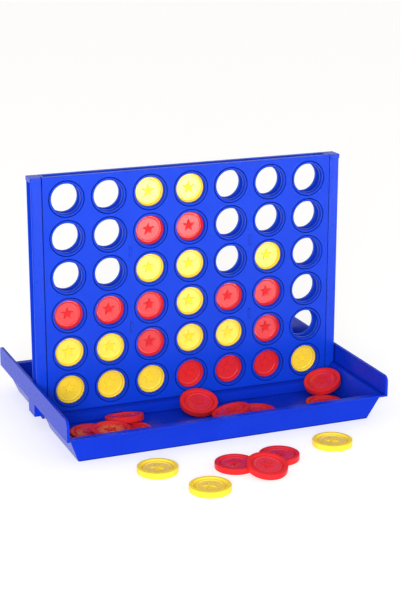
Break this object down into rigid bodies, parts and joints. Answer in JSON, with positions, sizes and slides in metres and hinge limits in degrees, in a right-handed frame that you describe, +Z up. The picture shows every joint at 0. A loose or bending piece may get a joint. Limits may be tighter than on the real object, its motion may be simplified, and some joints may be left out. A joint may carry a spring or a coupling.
{
  "type": "tabletop four-in-a-row game",
  "caption": "Vertical four-in-a-row board: two perforated panels between end posts on a winged tray, with red and yellow discs in the slots and lying loose.",
  "frame": {"origin": "centre of the tray's underside, on the table", "axes": "+Z up; +X along the rack to the right as seen from the front player; +Y towards the rear player, so the rack's faces look along -Y and +Y"},
  "size_m": [0.258, 0.2717, 0.1945],
  "materials": {
    "tray": "glossy moulded blue plastic",
    "panel": "glossy moulded blue plastic",
    "post": "glossy moulded blue plastic",
    "red_disc": "glossy moulded red plastic",
    "yellow_disc": "glossy moulded yellow plastic"
  },
  "bodies": {
    "tray": {"tray": "tray"},
    "rack": {"front_panel": "panel", "rear_panel": "panel", "left_post": "post", "right_post": "post"},
    "column_1": {"rack_disc_c1_r6_yellow": "yellow_disc", "rack_disc_c1_r5_yellow": "yellow_disc", "rack_disc_c1_r4_red": "red_disc"},
    "column_2": {"rack_disc_c2_r6_yellow": "yellow_disc", "rack_disc_c2_r5_yellow": "yellow_disc", "rack_disc_c2_r4_red": "red_disc"},
    "column_3": {"rack_disc_c3_r6_yellow": "yellow_disc", "rack_disc_c3_r5_red": "red_disc", "rack_disc_c3_r4_red": "red_disc", "rack_disc_c3_r3_yellow": "yellow_disc", "rack_disc_c3_r2_red": "red_disc", "rack_disc_c3_r1_yellow": "yellow_disc"},
    "column_4": {"rack_disc_c4_r6_red": "red_disc", "rack_disc_c4_r5_yellow": "yellow_disc", "rack_disc_c4_r4_yellow": "yellow_disc", "rack_disc_c4_r3_yellow": "yellow_disc", "rack_disc_c4_r2_red": "red_disc", "rack_disc_c4_r1_yellow": "yellow_disc"},
    "column_5": {"rack_disc_c5_r6_red": "red_disc", "rack_disc_c5_r5_yellow": "yellow_disc", "rack_disc_c5_r4_red": "red_disc"},
    "column_6": {"rack_disc_c6_r6_red": "red_disc", "rack_disc_c6_r5_red": "red_disc", "rack_disc_c6_r4_red": "red_disc", "rack_disc_c6_r3_yellow": "yellow_disc"},
    "column_7": {"rack_disc_c7_r6_yellow": "yellow_disc"},
    "tray_disc_a": {"tray_disc_a_red": "red_disc"},
    "tray_disc_b": {"tray_disc_b_red": "red_disc"},
    "tray_disc_c": {"tray_disc_c_red": "red_disc"},
    "tray_disc_d": {"tray_disc_d_red": "red_disc"},
    "tray_disc_e": {"tray_disc_e_red": "red_disc"},
    "tray_disc_f": {"tray_disc_f_red": "red_disc"},
    "tray_disc_g": {"tray_disc_g_red": "red_disc"},
    "tray_disc_h": {"tray_disc_h_red": "red_disc"},
    "tray_disc_i": {"tray_disc_i_red": "red_disc"},
    "table_disc_a": {"table_disc_a_yellow": "yellow_disc"},
    "table_disc_b": {"table_disc_b_yellow": "yellow_disc"},
    "table_disc_c": {"table_disc_c_yellow": "yellow_disc"},
    "table_disc_d": {"table_disc_d_red": "red_disc"},
    "table_disc_e": {"table_disc_e_red": "red_disc"},
    "table_disc_f": {"table_disc_f_red": "red_disc"}
  },
  "joints": [
    {"name": "rack_lift", "type": "slide", "parent": "tray", "child": "rack", "axis": [0, 0, 1], "range_m": [0, 0.2]},
    {"name": "column_1_slide", "type": "slide", "parent": "tray", "child": "column_1", "axis": [0, 0, 1], "range_m": [0, 0.19]},
    {"name": "column_2_slide", "type": "slide", "parent": "tray", "child": "column_2", "axis": [0, 0, 1], "range_m": [0, 0.19]},
    {"name": "column_3_slide", "type": "slide", "parent": "tray", "child": "column_3", "axis": [0, 0, 1], "range_m": [0, 0.19]},
    {"name": "column_4_slide", "type": "slide", "parent": "tray", "child": "column_4", "axis": [0, 0, 1], "range_m": [0, 0.19]},
    {"name": "column_5_slide", "type": "slide", "parent": "tray", "child": "column_5", "axis": [0, 0, 1], "range_m": [0, 0.19]},
    {"name": "column_6_slide", "type": "slide", "parent": "tray", "child": "column_6", "axis": [0, 0, 1], "range_m": [0, 0.19]},
    {"name": "column_7_slide", "type": "slide", "parent": "tray", "child": "column_7", "axis": [0, 0, 1], "range_m": [0, 0.19]},
    {"name": "tray_disc_a_slide", "type": "slide", "parent": "tray", "child": "tray_disc_a", "axis": [0, 1, 0], "range_m": [0, 0.012]},
    {"name": "tray_disc_b_lift", "type": "slide", "parent": "tray_disc_c", "child": "tray_disc_b", "axis": [0, 0, 1], "range_m": [0, 0.05]},
    {"name": "tray_disc_c_lift", "type": "slide", "parent": "tray", "child": "tray_disc_c", "axis": [0, 0, 1], "range_m": [0, 0.05]},
    {"name": "tray_disc_d_lift", "type": "slide", "parent": "tray_disc_c", "child": "tray_disc_d", "axis": [0, 0, 1], "range_m": [0, 0.05]},
    {"name": "tray_disc_e_lift", "type": "slide", "parent": "tray", "child": "tray_disc_e", "axis": [0, 0, 1], "range_m": [0, 0.05]},
    {"name": "tray_disc_f_lift", "type": "slide", "parent": "tray_disc_g", "child": "tray_disc_f", "axis": [0, 0, 1], "range_m": [0, 0.05]},
    {"name": "tray_disc_g_lift", "type": "slide", "parent": "tray", "child": "tray_disc_g", "axis": [0, 0, 1], "range_m": [0, 0.05]},
    {"name": "tray_disc_h_lift", "type": "slide", "parent": "tray_disc_i", "child": "tray_disc_h", "axis": [0, 0, 1], "range_m": [0, 0.05]},
    {"name": "tray_disc_i_lift", "type": "slide", "parent": "tray", "child": "tray_disc_i", "axis": [0, 0, 1], "range_m": [0, 0.05]},
    {"name": "table_disc_a_lift", "type": "slide", "parent": "tray", "child": "table_disc_a", "axis": [0, 0, 1], "range_m": [0, 0.05]},
    {"name": "table_disc_b_lift", "type": "slide", "parent": "tray", "child": "table_disc_b", "axis": [0, 0, 1], "range_m": [0, 0.05]},
    {"name": "table_disc_c_lift", "type": "slide", "parent": "tray", "child": "table_disc_c", "axis": [0, 0, 1], "range_m": [0, 0.05]},
    {"name": "table_disc_d_slide", "type": "slide", "parent": "tray", "child": "table_disc_d", "axis": [0, 1, 0], "range_m": [0, 0.02]},
    {"name": "table_disc_e_lift", "type": "slide", "parent": "tray", "child": "table_disc_e", "axis": [0, 0, 1], "range_m": [0, 0.05]},
    {"name": "table_disc_f_lift", "type": "slide", "parent": "table_disc_e", "child": "table_disc_f", "axis": [0, 0, 1], "range_m": [0, 0.05]}
  ]
}
